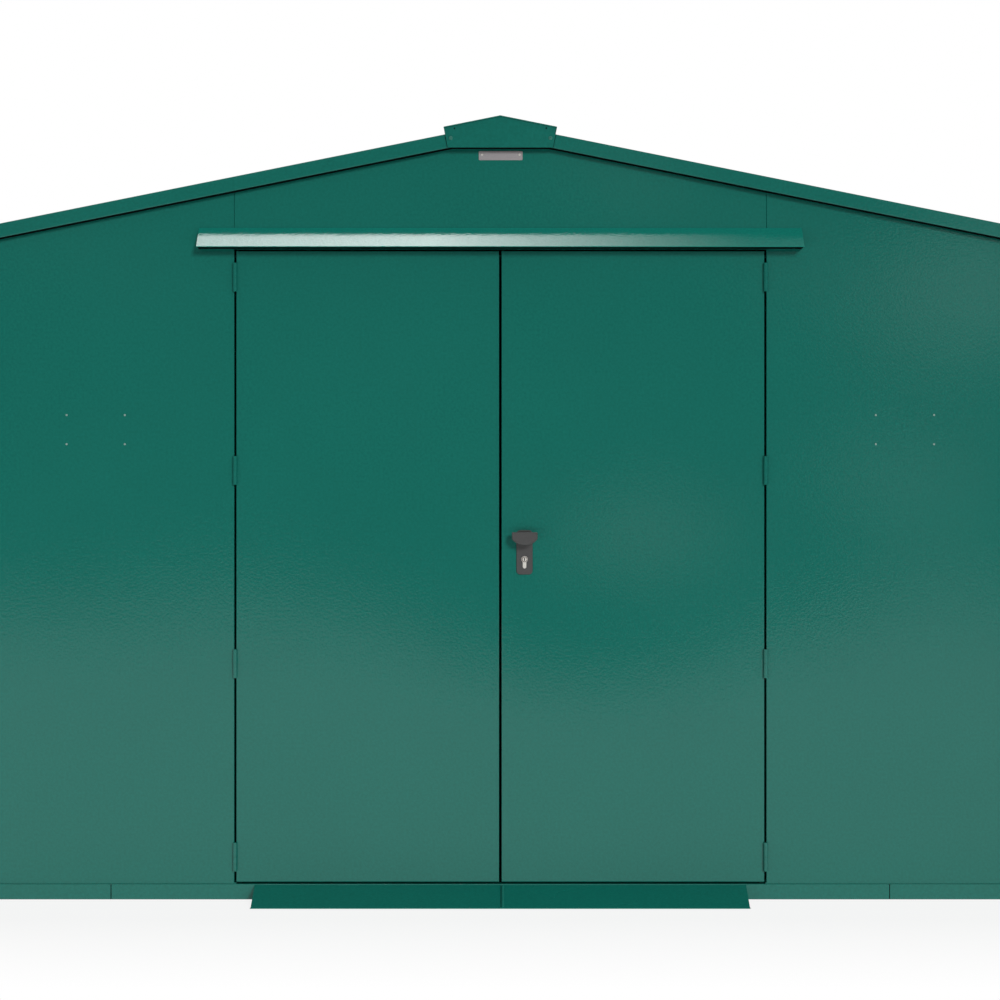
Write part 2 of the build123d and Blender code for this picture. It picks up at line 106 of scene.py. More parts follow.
@dataclass
class Graph:
    """A node tree, with a method for each kind of node that finishes and studio share."""

    tree: bpy.types.NodeTree

    @classmethod
    def empty(cls, owner: Any) -> "Graph":
        """Turns on the nodes of a material, world or lamp and clears them.

        Args:
            owner: What the nodes belong to.

        Returns:
            The empty graph.
        """
        owner.use_nodes = True
        owner.node_tree.nodes.clear()
        return cls(owner.node_tree)

    def add(
        self, kind: str, settings: dict[str, Any] | None = None, **links: Any
    ) -> bpy.types.Node:
        """Adds a node with its settings and its input values or links.

        Args:
            kind: The node's type name.
            settings: Attributes of the node.
            links: Input name, with spaces as underscores, or "i" and a number, to a value
                or an output socket.

        Returns:
            The new node.
        """
        node = self.tree.nodes.new(kind)
        for name, value in (settings or {}).items():
            setattr(node, name, value)
        for name, value in links.items():
            numbered = name[0] == "i" and name[1:].isdigit()
            socket = node.inputs[int(name[1:]) if numbered else name.replace("_", " ")]
            if isinstance(value, Socket):
                self.tree.links.new(value, socket)
            else:
                socket.default_value = value
        return node

    def join(self, node: bpy.types.Node, surface: Socket) -> None:
        """Links a node's first output to the surface."""
        self.tree.links.new(node.outputs[0], surface)

    def object_place(self) -> Socket:
        """The shaded point in the object's own coordinates."""
        return self.add("ShaderNodeTexCoord").outputs["Object"]

    def world_place(self) -> Any:
        """The X, Y and Z sockets of the shaded point in the scene."""
        place = self.add("ShaderNodeNewGeometry").outputs["Position"]
        return self.add("ShaderNodeSeparateXYZ", Vector=place).outputs

    def math(self, operation: str, *values: Any) -> Socket:
        """Adds a calculation on one to three values or sockets.

        Args:
            operation: The Math node's operation.
            values: Its inputs in order.

        Returns:
            The result's socket.
        """
        inputs = {f"i{number}": value for number, value in enumerate(values)}
        return self.add("ShaderNodeMath", {"operation": operation}, **inputs).outputs[0]

    def spread(self, value: Socket, source: Pair, target: Pair) -> Socket:
        """Carries the source range straight onto the target range, and no further.

        Args:
            value: The value's socket.
            source: The range that it comes in.
            target: The range that it is carried to.

        Returns:
            The new value's socket.
        """
        ends = {"i1": source[0], "i2": source[1], "i3": target[0], "i4": target[1]}
        return self.add("ShaderNodeMapRange", i0=value, **ends).outputs[0]

    def noise(
        self, place: Socket, millimetres: float, detail: float, roughness: float = 0.5
    ) -> Socket:
        """Adds a noise.

        Args:
            place: Where it is read.
            millimetres: How far its features are apart.
            detail: How many finer layers it has.
            roughness: How strong the finer layers are.

        Returns:
            The noise's socket.
        """
        scale = pattern_scale(millimetres)
        inputs = {"Vector": place, "Scale": scale, "Detail": detail, "Roughness": roughness}
        return self.add("ShaderNodeTexNoise", **inputs).outputs[0]

    def tone(self, hex_colour: str, value: Socket) -> Socket:
        """The colour with its brightness multiplied by the value."""
        return self.add("ShaderNodeHueSaturation", Color=linear(hex_colour), Value=value).outputs[0]

    def bump(self, height: Socket, millimetres: float, strength: float = 1.0) -> Socket:
        """The surface's normal over bumps that are that many millimetres high."""
        inputs = {"Strength": strength, "Distance": millimetres * MILLIMETRE}
        return self.add("ShaderNodeBump", Height=height, **inputs).outputs[0]

    def glow(self, strength: Any) -> bpy.types.Node:
        """A white glow of a strength, which is a number or a socket."""
        return self.add("ShaderNodeEmission", Color=WHITE, Strength=strength)


def new_material(name: str) -> tuple[bpy.types.Material, Graph, Socket]:
    """Makes an empty material with an output.

    Args:
        name: The material's name.

    Returns:
        The material, its graph and the output's surface socket.
    """
    material = bpy.data.materials.new(name)
    graph = Graph.empty(material)
    return material, graph, graph.add("ShaderNodeOutputMaterial").inputs["Surface"]


@dataclass(frozen=True)
class PowderCoat:
    """Polyester powder baked on galvanised sheet: a hard, even gloss over a fine orange peel."""

    name: str
    colour: str
    roughness: float = 0.06
    peel_mm: float = 7.5
    peel_height_mm: float = 0.25
    grain: float = 0.085
    cloud: float = 0.02
    ior: float = 1.43
    ripple_peels: float = 9.0
    ripple_share: float = 0.5
    cloud_mm: float = 420.0
    gloss_spread: Pair = (0.9, 1.15)

    def material(self) -> bpy.types.Material:
        """Builds the coat: a barely clouded colour, peel bumps and a gloss that varies a little.

        The bumps are the peel plus a share of a broad ripple.

        Returns:
            The coat's material.
        """
        material, graph, surface = new_material(self.name)
        place = graph.object_place()
        # Real orange peel is 1 to 3 mm across; it is drawn coarser, to show at 3 mm a pixel.
        peel = graph.noise(place, self.peel_mm, 2.0, 0.6)
        ripple = graph.noise(place, self.peel_mm * self.ripple_peels, 1.0)
        clouds = graph.noise(place, self.cloud_mm, 3.0, 0.6)
        height = graph.math("MULTIPLY_ADD", ripple, self.ripple_share, peel)
        tone = graph.spread(clouds, NOISE_RANGE, (1 - self.cloud, 1 + self.cloud))
        speck = graph.spread(peel, NOISE_RANGE, (1 - self.grain, 1 + self.grain))
        smoother, rougher = (self.roughness * part for part in self.gloss_spread)
        shader = graph.add(
            "ShaderNodeBsdfPrincipled",
            Base_Color=graph.tone(self.colour, graph.math("MULTIPLY", tone, speck)),
            Roughness=graph.spread(clouds, NOISE_RANGE, (smoother, rougher)),
            IOR=self.ior,
            Normal=graph.bump(height, self.peel_height_mm),
        )
        graph.join(shader, surface)
        return material


@dataclass(frozen=True)
class GalvanisedSheet:
    """Hot-dip galvanised steel: a dull zinc grey with large, faint crystal spangles."""

    name: str
    colour: str
    spangle_mm: float = 14.0
    roughness: float = 0.42
    metallic: float = 0.45
    tones: Pair = (0.86, 1.08)
    smoother: float = 0.07
    rougher: float = 0.1

    def material(self) -> bpy.types.Material:
        """Builds the zinc: each spangle cell has its own tone and gloss.

        Returns:
            The zinc's material.
        """
        material, graph, surface = new_material(self.name)
        cells = graph.add(
            "ShaderNodeTexVoronoi",
            Vector=graph.object_place(),
            Scale=pattern_scale(self.spangle_mm),
            Randomness=1.0,
        )
        draw = graph.add("ShaderNodeSeparateColor", Color=cells.outputs["Color"]).outputs
        gloss = (self.roughness - self.smoother, self.roughness + self.rougher)
        shader = graph.add(
            "ShaderNodeBsdfPrincipled",
            Base_Color=graph.tone(self.colour, graph.spread(draw[0], FULL_RANGE, self.tones)),
            Metallic=self.metallic,
            Roughness=graph.spread(draw[1], FULL_RANGE, gloss),
        )
        graph.join(shader, surface)
        return material


@dataclass(frozen=True)
class PlatedMetal:
    """Plated or brushed metal: fine straight brush lines under an even shine."""

    name: str
    colour: str
    roughness: float
    metallic: float = 1.0
    brush_mm: float = 0.8
    brush_depth_mm: float = 0.01
    stretch: Point = (0.04, 1.0, 1.0)
    gloss_spread: Pair = (0.85, 1.2)

    def material(self) -> bpy.types.Material:
        """Builds the metal: lines along X, made by stretching a fine noise.

        Returns:
            The metal's material.
        """
        material, graph, surface = new_material(self.name)
        along = graph.add("ShaderNodeMapping", Vector=graph.object_place(), Scale=self.stretch)
        lines = graph.noise(along.outputs[0], self.brush_mm, 2.0)
        smoother, rougher = (self.roughness * part for part in self.gloss_spread)
        shader = graph.add(
            "ShaderNodeBsdfPrincipled",
            Base_Color=linear(self.colour),
            Metallic=self.metallic,
            Roughness=graph.spread(lines, NOISE_RANGE, (smoother, rougher)),
            Normal=graph.bump(lines, self.brush_depth_mm),
        )
        graph.join(shader, surface)
        return material


@dataclass(frozen=True)
class PaintedShadeMatt:
    """Matt, dark paint that stands in for shade in gaps, holes and under edges, with a faint grain
    that hardly catches light.
    """

    name: str
    colour: str
    roughness: float = 0.85
    grain_mm: float = 1.5
    grain_height_mm: float = 0.06
    grain_strength: float = 0.6
    tones: Pair = (0.8, 1.2)
    ior: float = 1.3
    shine: float = 0.05

    def material(self) -> bpy.types.Material:
        """Builds the matt paint with a fine grain in its bump and its tone.

        Returns:
            The paint's material.
        """
        material, graph, surface = new_material(self.name)
        grain = graph.noise(graph.object_place(), self.grain_mm, 2.0)
        shader = graph.add(
            "ShaderNodeBsdfPrincipled",
            Base_Color=graph.tone(self.colour, graph.spread(grain, NOISE_RANGE, self.tones)),
            Roughness=self.roughness,
            IOR=self.ior,
            Specular_IOR_Level=self.shine,
            Normal=graph.bump(grain, self.grain_height_mm, self.grain_strength),
        )
        graph.join(shader, surface)
        return material


class Finish(Enum):
    """The finishes by the record's material slots, and those of the added small pieces."""

    WALL = PowderCoat("powder_coat_juniper_walls", "116358")
    BASE = PowderCoat("powder_coat_juniper_base", "116358", roughness=0.16)
    # The hood has the walls' paint; its colour is painted lighter, as the light that falls on its
    # sloped face.
    HOOD = PowderCoat("powder_coat_juniper_hood_painted_light", "167a6c", peel_mm=7.0, peel_height_mm=0.65)
    RAMP = PowderCoat("powder_coat_juniper_ramp", "0e6d60", roughness=0.25, ior=1.35)
    # The two lips have the ramp's paint, painted darker as shade on one and lighter as a highlight
    # on the other.
    LIP_SHADE = PowderCoat("powder_coat_juniper_lip_painted_shade", "09493f", roughness=0.4, ior=1.3)
    LIP_PAINTED_HIGHLIGHT = PowderCoat("powder_coat_juniper_lip_painted_highlight", "1e776a", roughness=0.3, ior=1.35)
    FLOOR = GalvanisedSheet("galvanised_floor_trays", "9a9c9d")
    LOCK = PowderCoat(
        "powder_coat_charcoal_lock", "434343", roughness=0.42, peel_mm=3.0, peel_height_mm=0.03
    )
    CYLINDER = PlatedMetal("satin_nickel_cylinder", "d2cfc8", 0.4, metallic=0.3)
    # The keyway is near-black paint for its shade; the brownish ring round the plug is painted dark
    # as the shade at the plug's edge.
    KEYWAY = PaintedShadeMatt("shadowed_keyway", "111111")
    PLUG_RING_SHADE = PaintedShadeMatt("plug_ring_painted_shade", "4a3a34", roughness=0.5, shine=0.4)
    CASE = PlatedMetal("zinc_plated_lock_case", "a4a6a8", 0.35)
    PLATE = PowderCoat(
        "lacquered_aluminium_plate", "928e8f", roughness=0.35, peel_mm=2.0, peel_height_mm=0.01
    )
    SCREW = PowderCoat("powder_coat_juniper_screws", "2f6f63", roughness=0.2, peel_height_mm=0.02)
    # Near-black paint for the shade in the shed's gaps and holes and under its edges.
    SHADE_BLACK = PaintedShadeMatt("black_painted_shade", "080909")
    RIVET = PlatedMetal("zinc_plated_rivets", "8fa69e", 0.35, metallic=0.35)


SLOT_FINISH = {
    "wall_green": Finish.WALL,
    "hood_green": Finish.HOOD,
    "base_green": Finish.BASE,
    "ramp_green": Finish.RAMP,
    "floor_zinc": Finish.FLOOR,
    "lock_grey": Finish.LOCK,
    "cylinder_nickel": Finish.CYLINDER,
    "case_steel": Finish.CASE,
}


@dataclass
class Wardrobe:
    """Makes each finish once and hands it out."""

    made: dict[Finish, bpy.types.Material] = field(default_factory=dict)

    def get(self, finish: Finish) -> bpy.types.Material:
        """The material of a finish, made at its first use."""
        if finish not in self.made:
            self.made[finish] = finish.value.material()
        return self.made[finish]

    def dress(self, frame: dict[str, Any]) -> None:
        """Gives each CAD node the finish of its slot.
        """
        slots = {part["node"]: part["material_slot"] for part in frame["record"]["subparts"]}
        for name, node in frame["nodes"].items():
            material = self.get(SLOT_FINISH[slots[name]])
            node.data.materials.clear()
            node.data.materials.append(material)


def new_object(name: str, points: np.ndarray, faces: list[list[int]]) -> bpy.types.Object:
    """Makes a mesh object and links it to the scene, at the origin.

    Args:
        name: The object's name.
        points: Points of shape (count, 3).
        faces: Each face's points by number, counter-clockwise from outside.

    Returns:
        The new object.
    """
    mesh = bpy.data.meshes.new(name)
    mesh.from_pydata(points.tolist(), [], faces)
    mesh.validate()
    mesh.update()
    made = bpy.data.objects.new(name, mesh)
    bpy.context.scene.collection.objects.link(made)
    return made


def grid_of(x: Any, y: Any, z: Any) -> np.ndarray:
    """Stacks coordinates that broadcast together into points of shape (rows, columns, 3)."""
    return np.stack(np.broadcast_arrays(x, y, z), axis=-1)


def mesh_object(
    name: str, grid: np.ndarray, wrapped: bool = False, lid: bool = False, base: bool = False
) -> bpy.types.Object:
    """Makes a mesh of quads from a grid of points.

    Args:
        name: The object's name.
        grid: Points of shape (rows, columns, 3).
        wrapped: Whether the last column joins the first.
        lid: Whether one face closes the last row.
        base: Whether one face closes the first row.

    Returns:
        The new object.
    """
    rows, columns = grid.shape[:2]
    index = np.arange(rows * columns).reshape(rows, columns)
    if wrapped:
        index = np.hstack([index, index[:, :1]])
    corners = [index[:-1, :-1], index[:-1, 1:], index[1:, 1:], index[1:, :-1]]
    faces = np.stack(corners, axis=-1).reshape(-1, 4).tolist()
    if lid:
        faces.append(index[-1, :columns].tolist())
    if base:
        faces.append(index[0, :columns][::-1].tolist())
    return new_object(name, grid.reshape(-1, 3), faces)


def smooth_solid(name: str, grid: np.ndarray) -> bpy.types.Object:
    """A closed, smoothly shaded piece: the grid wrapped round, with a lid and a base."""
    piece = mesh_object(name, grid, wrapped=True, lid=True, base=True)
    piece.data.polygons.foreach_set("use_smooth", np.ones(len(piece.data.polygons), bool))
    return piece


def prism(name: str, outline: list[Point], shift: Point) -> bpy.types.Object:
    """A straight prism over a flat polygon, its faces turned outwards.

    The polygon is reversed where its normal, the cross product of its first two edges,
    points along the shift.

    Args:
        name: The object's name.
        outline: Points around the polygon.
        shift: From the polygon to the opposite face.

    Returns:
        The prism as an object.
    """
    points, move = np.array(outline), np.array(shift)
    if np.cross(points[1] - points[0], points[2] - points[1]) @ move > 0:
        points = points[::-1]
    count = len(points)
    ring = np.arange(count)
    after = np.roll(ring, -1)
    sides = np.stack([after, ring, ring + count, after + count], axis=-1)
    faces = [ring.tolist(), (ring[::-1] + count).tolist(), *sides.tolist()]
    return new_object(name, np.vstack([points, points + move]), faces)


@dataclass
class TurnedHead:
    """A head turned about the Y axis that stands out of the front, or of the back."""

    name: str
    centre: Point
    outline: np.ndarray
    outward: float = -1.0
    segments: int = 24

    def build(self) -> bpy.types.Object:
        """Turns the outline: at angle a the point is (x + r cos a, y + outward h, z + r sin a).

        The angle runs the other way round at the back, so that faces point outwards there too.

        Returns:
            The head as an object.
        """
        turn = np.linspace(0, 2 * np.pi, self.segments, endpoint=False) * -self.outward
        radius, height = self.outline[:, 0][:, None], self.outline[:, 1][:, None]
        x, y, z = self.centre
        grid = grid_of(
            x + radius * np.cos(turn), y + self.outward * height, z + radius * np.sin(turn)
        )
        return smooth_solid(self.name, grid)


@dataclass(frozen=True)
class Dome:
    """A low dome with a straight rim, and a sunk mark in its middle where dimple isn't 0.

    The shares are parts of its height, and the foot goes a little into what it stands on. The
    mark's radii are parts of the dimple's.
    """

    radius: float
    height: float
    dimple: float = 0.0
    foot: float = -0.0002
    rim_share: float = 0.2
    shoulder_share: float = 0.25
    pole_turn: float = 0.02
    pole_radius: float = 0.00001
    mark_radii: Point = (1.0, 0.9, 0.0)
    mark_shares: Point = (0.9, 0.45, 0.4)
    steps: int = 9

    def outline(self) -> np.ndarray:
        """Its outline from rim to middle.

        At turn t from the pole the radius is radius sin t, and the height is the shoulder plus
        the rest of the height times cos t.

        Returns:
            Rows of radius and height.
        """
        turn = np.linspace(np.pi / 2, self.pole_turn, self.steps)
        share = self.shoulder_share + (1 - self.shoulder_share) * np.cos(turn)
        curve = np.stack([self.radius * np.sin(turn), self.height * share], axis=-1)
        rim = np.array([[self.radius, self.foot], [self.radius, self.height * self.rim_share]])
        outline = np.vstack([rim, curve])
        if self.dimple:
            radii = np.maximum(self.dimple * np.array(self.mark_radii), self.pole_radius)
            mark = np.stack([radii, self.height * np.array(self.mark_shares)], axis=-1)
            outline = np.vstack([outline[outline[:, 0] > self.dimple], mark])
        return outline


@dataclass(frozen=True)
class RoundedPlate:
    """A thin plate facing -Y with rounded corners and a rolled edge."""

    width: float
    height: float
    corner: float
    thickness: float
    edge: float
    corner_steps: int = 7
    edge_steps: int = 5

    def build(self, name: str, centre: Point) -> bpy.types.Object:
        """Makes the plate.

        A ring is the rounded rectangle shrunk by a margin: each corner is a quarter circle about
        its own centre. The rings go from the back edge up the side and over the quarter-round
        edge, and a lid closes the last one.

        Args:
            name: The object's name.
            centre: The middle of the plate's back.

        Returns:
            The plate as an object.
        """
        turn = np.linspace(0, np.pi / 2, self.corner_steps)
        quarter = np.concatenate([turn + k * np.pi / 2 for k in range(4)])
        side_x = np.repeat([1, -1, -1, 1], self.corner_steps)
        side_z = np.repeat([1, 1, -1, -1], self.corner_steps)
        roll = np.linspace(0, np.pi / 2, self.edge_steps)
        side = self.thickness - self.edge
        margin = np.concatenate([[0.0], self.edge * (1 - np.cos(roll))])[:, None]
        depth = np.concatenate([[0.0], side + self.edge * np.sin(roll)])[:, None]
        radius = self.corner - margin
        x = centre[0] + side_x * (self.width / 2 - margin - radius) + radius * np.cos(quarter)
        z = centre[2] + side_z * (self.height / 2 - margin - radius) + radius * np.sin(quarter)
        return smooth_solid(name, grid_of(x, centre[1] - depth, z))


@dataclass
class Fitter:
    """Dresses small pieces and lets them ride on a body."""

    wardrobe: Wardrobe
    count: int = 0

    def fit(self, piece: bpy.types.Object, finish: Finish, slot: str, body: str = "shed") -> None:
        """Dresses one piece.

        Args:
            piece: The piece.
            finish: Its finish.
            slot: The record's slot that it goes by; not used.
            body: The body that carries it.
        """
        piece.data.materials.append(self.wardrobe.get(finish))
        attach(piece, body)
        self.count += 1


@dataclass
class Fasteners:
    """The small heads on the front and on the ridge cap, which the CAD leaves out."""

    fitter: Fitter
    front: float
    cap_face: float
    wall_columns: tuple[float, ...] = (-1.2435, -1.0765, 1.0765, 1.2435)
    wall_rows: Pair = (1.3875, 1.304)
    wall_rivet: Dome = Dome(0.0030, 0.0019, 0.0009)
    cap_screws: Pair = (-0.1412, 0.1431)
    cap_screw_height: float = 2.176
    cap_screw: Dome = Dome(0.0056, 0.0031, 0.0015)
    cap_holes: Pair = (-0.1306, 0.1312)
    cap_hole_height: float = 2.2038
    cap_hole: Dome = Dome(0.0023, 0.0002)
    cap_hole_segments: int = 16

    def build(self) -> None:
        """Places the wall rivets, the cap's screws and black discs that paint the shade in its
        unused holes.
        """
        for number, x in enumerate(self.wall_columns):
            for row, z in enumerate(self.wall_rows):
                name, place = f"wall_rivet_{number}_{row}", (x, self.front, z)
                rivet = TurnedHead(name, place, self.wall_rivet.outline())
                self.fitter.fit(rivet.build(), Finish.RIVET, "case_steel")
        for end, outward in ENDS:
            face = -outward * self.cap_face
            for number, x in enumerate(self.cap_screws):
                name, place = f"cap_screw_{end}_{number}", (x, face, self.cap_screw_height)
                screw = TurnedHead(name, place, self.cap_screw.outline(), outward)
                self.fitter.fit(screw.build(), Finish.SCREW, "wall_green")
            # Black discs paint the shade in the cap's unused holes.
            for number, x in enumerate(self.cap_holes):
                name, place = f"cap_hole_{end}_{number}", (x, face, self.cap_hole_height)
                outline = self.cap_hole.outline()
                hole = TurnedHead(name, place, outline, outward, self.cap_hole_segments)
                self.fitter.fit(hole.build(), Finish.SHADE_BLACK, "lock_grey")


@dataclass
class BarePlate:
    """The plain riveted plate under the gable's peak."""

    fitter: Fitter
    front: float
    centre_x: float = 0.0009
    centre_z: float = 2.1312
    plate: RoundedPlate = RoundedPlate(0.1256, 0.0262, 0.003, 0.0016, 0.0006)
    rivets: Pair = (-0.0525, 0.0550)
    rivet_z: float = 2.1337
    rivet: Dome = Dome(0.0032, 0.0014, 0.0009)

    def build(self) -> None:
        """Makes the plate and its two rivets."""
        plate = self.plate.build("bare_plate", (self.centre_x, self.front, self.centre_z))
        self.fitter.fit(plate, Finish.PLATE, "case_steel")
        for number, x in enumerate(self.rivets):
            place = (x, self.front - self.plate.thickness, self.rivet_z)
            rivet = TurnedHead(f"plate_rivet_{number}", place, self.rivet.outline())
            self.fitter.fit(rivet.build(), Finish.CYLINDER, "case_steel")


@dataclass
class Keyway:
    """A dark brownish ring round the plug, the round plug and the key slot in the lock cylinder's
    face; the ring and the slot paint the shade at the plug's edge and in the keyway.
    """

    fitter: Fitter
    head_radius: float = 0.009
    shade_ring: Dome = Dome(0.0080, 0.0003)
    plug: Dome = Dome(0.0062, 0.0007)
    slot: RoundedPlate = RoundedPlate(0.0024, 0.0092, 0.0009, 0.0002, 0.0001)

    def build(self) -> None:
        """Sets them on the cylinder's head, which is a circle at its top."""
        low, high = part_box("lock_cylinder")
        place = ((low.x + high.x) / 2, low.y, high.z - self.head_radius)
        # The ring is painted dark as the shade round the plug's edge.
        shade_ring = TurnedHead("cylinder_plug_shade_ring", place, self.shade_ring.outline())
        self.fitter.fit(shade_ring.build(), Finish.PLUG_RING_SHADE, "lock_grey", "right_door")
        plug = TurnedHead("cylinder_plug", place, self.plug.outline())
        self.fitter.fit(plug.build(), Finish.CYLINDER, "cylinder_nickel", "right_door")
        # The slot is a black plate that paints the keyway's shade.
        slot = self.slot.build("key_slot", (place[0], place[1] - self.plug.height, place[2]))
        self.fitter.fit(slot, Finish.KEYWAY, "lock_grey", "right_door")


@dataclass
class RampLip:
    """One of the low lips along the ramp's middle joint: one painted darker as shade, and one
    painted lighter as a highlight.
    """

    fitter: Fitter
    name: str
    centre_x: float
    half_width: float
    height: float
    finish: Finish
    toe_height: float = 0.002
    margin: float = 0.005
    end_fold: float = 0.0003
    sink: float = 0.0004
    steps: int = 13

    def build(self) -> None:
        """Lays a low arch along the slope.

        At angle a across the arch the point is centre - half width cos a along X, and
        height sin a - sink along the slope's normal.
        """
        low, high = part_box("ramp_right")
        toe, top = np.array([0.0, low.y, self.toe_height]), np.array([0.0, high.y, high.z])
        length = np.linalg.norm(top - toe)
        slope = (top - toe) / length
        normal = np.array([0.0, -slope[2], slope[1]])
        ends = np.array([0.0, self.end_fold])
        along = np.concatenate([self.margin + ends, length - self.margin - ends[::-1]])
        angle = np.linspace(0, np.pi, self.steps)
        lift = (self.height * np.sin(angle) - self.sink)[None, :, None]
        across = (self.centre_x - self.half_width * np.cos(angle))[None, :, None]
        sideways = np.array([1.0, 0.0, 0.0])
        grid = toe + along[:, None, None] * slope + lift * normal + across * sideways
        self.fitter.fit(smooth_solid(self.name, grid), self.finish, "ramp_green")


def upright(across: Pair, y: float, up: Pair) -> list[Point]:
    """The corners of an upright rectangle that faces the front.

    Args:
        across: Its left and its right side.
        y: Where its face is.
        up: Its foot and its top.

    Returns:
        The corners from the foot's left one, by the right.
    """
    (left, right), (foot, top) = across, up
    return [(left, y, foot), (right, y, foot), (right, y, top), (left, y, top)]


@dataclass
class Strips:
    """The thin strips in the shed's gaps and over its seams.

    Black strips paint the shade in the gaps under the verges, behind the ridge cap's end plates and
    in the rain hood, on the door frame behind the leaves' gaps, and over the base rail's joints.
    Painted strips cover the front panels' feet and the step at the ridge cap's ends.
    """

    fitter: Fitter
    front: float
    cap_face: float
    thickness: float = 0.0012
    clear: float = 0.0005
    sheet: float = 0.0012
    slope: float = 0.2002
    verge_depth: float = 0.0265
    verge_start: float = 0.02
    verge_stop: float = 0.03
    verge_drop: float = 0.0001
    cap_reach: float = 0.150
    cap_lift: float = 0.0022
    cap_side_foot: Pair = (0.1502, 0.001)
    cap_side_top: Pair = (0.1578, 0.037)
    cap_side_inside: float = 0.004
    cap_side_outside: float = 0.0013
    cap_side_depth: float = 0.0018
    rim_drop: float = 0.0012
    rim_reach: float = 0.1615
    rim_depth: float = 0.0032
    rim_height: float = 0.0022
    seal_edge: float = 0.004
    seal_width: float = 0.022
    seal_depth: float = 0.003
    seal_end: float = 0.004
    head_end: float = 0.03
    joint_strip_half: float = 0.0012
    joint_strip_end: float = 0.001
    foot_rise: float = 0.003
    foot_lift: float = 0.0001
    foot_left: float = 0.006
    foot_right: float = 0.003

    def lay(self, name: str, outline: list[Point], shift: Point) -> None:
        """Makes one black strip, which paints shade, and fits it.

        Args:
            name: The strip's name.
            outline: The corners of its first face.
            shift: From that face to the opposite one.
        """
        self.fitter.fit(prism(name, outline, shift), Finish.SHADE_BLACK, "lock_grey")

    def under_verge(self, end: str, outward: float, name: str, side: float) -> None:
        """A black strip that paints the shade along the underside of a verge trim, sloping with it.

        Args:
            end: The gable's name.
            outward: -1 at the front and 1 at the back.
            name: The side's name.
            side: -1 on the left and 1 on the right.
        """
        node = f"verge_{end}_{name}"
        low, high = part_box(node)
        reach = max(abs(low.x), abs(high.x))
        inner, outer = self.verge_start, reach - self.verge_stop
        z_outer = low.z + (reach - outer) * self.slope - self.verge_drop
        z_inner = z_outer + (outer - inner) * self.slope
        wall = -outward * self.front
        near, far = wall + outward * self.clear, wall + outward * self.verge_depth
        outline = [
            (side * inner, near, z_inner),
            (side * inner, far, z_inner),
            (side * outer, far, z_outer),
            (side * outer, near, z_outer),
        ]
        self.lay(f"shade_strip_{node}", outline, (0, 0, -self.thickness))

    def at_cap(self, end: str, outward: float) -> None:
        """Black strips that paint the shade behind the foot and behind both slanted sides of a
        cap's end plate.

        Args:
            end: The gable's name.
            outward: -1 at the front and 1 at the back.
        """
        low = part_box("ridge_cap")[0]
        wall, face = -outward * self.front, -outward * self.cap_face
        near, behind = wall + outward * self.clear, face - outward * (self.sheet + self.clear)
        z, reach = low.z + self.cap_lift, self.cap_reach
        flat = [(-reach, near, z), (-reach, behind, z), (reach, behind, z), (reach, near, z)]
        self.lay(f"shade_strip_cap_{end}", flat, (0, 0, -self.thickness))
        (foot, foot_z), (top, top_z) = self.cap_side_foot, self.cap_side_top
        for name, side in SIDES:
            outline = [
                (side * (foot - self.cap_side_inside), behind, low.z + foot_z),
                (side * (foot + self.cap_side_outside), behind, low.z + foot_z),
                (side * (top + self.cap_side_outside), behind, low.z + top_z),
                (side * (top - self.cap_side_inside), behind, low.z + top_z),
            ]
            shift = (0, -outward * self.cap_side_depth, 0)
            self.lay(f"shade_strip_cap_{end}_{name}", outline, shift)

    def cap_rim(self, end: str, outward: float) -> None:
        """Two painted strips over the step between a cap's end plate and the sheet above it.

        Args:
            end: The gable's name.
            outward: -1 at the front and 1 at the back.
        """
        apex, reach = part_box("ridge_cap")[1].z - self.rim_drop, self.rim_reach
        near = -outward * self.cap_face + outward * self.rim_depth
        corner = apex - reach * self.slope
        for name, side in SIDES:
            outline = [
                (0.0, near, apex),
                (side * reach, near, corner),
                (side * reach, near, corner - self.rim_height),
                (0.0, near, apex - self.rim_height),
            ]
            strip = prism(f"rim_cap_{end}_{name}", outline, (0, -outward * self.rim_depth, 0))
            self.fitter.fit(strip, Finish.WALL, "wall_green")

    def in_hood(self) -> None:
        """A black strip that closes the rain hood's underside and paints its shade."""
        low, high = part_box("rain_hood")
        inset = self.sheet + self.clear
        z = low.z + self.clear + self.thickness
        left, right, ahead, behind = low.x + inset, high.x - inset, low.y + inset, high.y - inset
        outline = [(left, ahead, z), (right, ahead, z), (right, behind, z), (left, behind, z)]
        self.lay("shade_strip_hood", outline, (0, 0, -self.thickness))

    def on_frame(self, node: str) -> None:
        """A black strip on the door frame's face, behind the gap at a leaf's edge, that paints the
        gap's shade.

        Args:
            node: The frame's post or head.
        """
        low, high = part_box(node)
        across = (low.x + self.seal_edge, low.x + self.seal_edge + self.seal_width)
        up = (low.z + self.seal_end, high.z - self.seal_end)
        if node == "door_head":
            across = (low.x + self.head_end, high.x - self.head_end)
            up = (low.z + self.seal_edge, low.z + self.seal_edge + self.seal_width)
        elif node == "door_post_left":
            across = (high.x - self.seal_edge - self.seal_width, high.x - self.seal_edge)
        outline = upright(across, low.y - self.clear / 2, up)
        self.lay(f"seal_{node}", outline, (0, -self.seal_depth, 0))

    def in_base_seam(self, side: str, first: str, last: str) -> None:
        """A black strip over the upright joint between two front base rails, which paints the
        joint's shade.

        Args:
            side: The joint's side.
            first: The rail on its left.
            last: The rail on its right.
        """
        low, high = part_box(first)
        middle = (high.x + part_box(last)[0].x) / 2
        across = (middle - self.joint_strip_half, middle + self.joint_strip_half)
        up = (low.z + self.joint_strip_end, high.z - self.joint_strip_end)
        outline = upright(across, low.y - self.clear / 2, up)
        self.lay(f"shade_strip_base_{side}", outline, (0, self.thickness, 0))

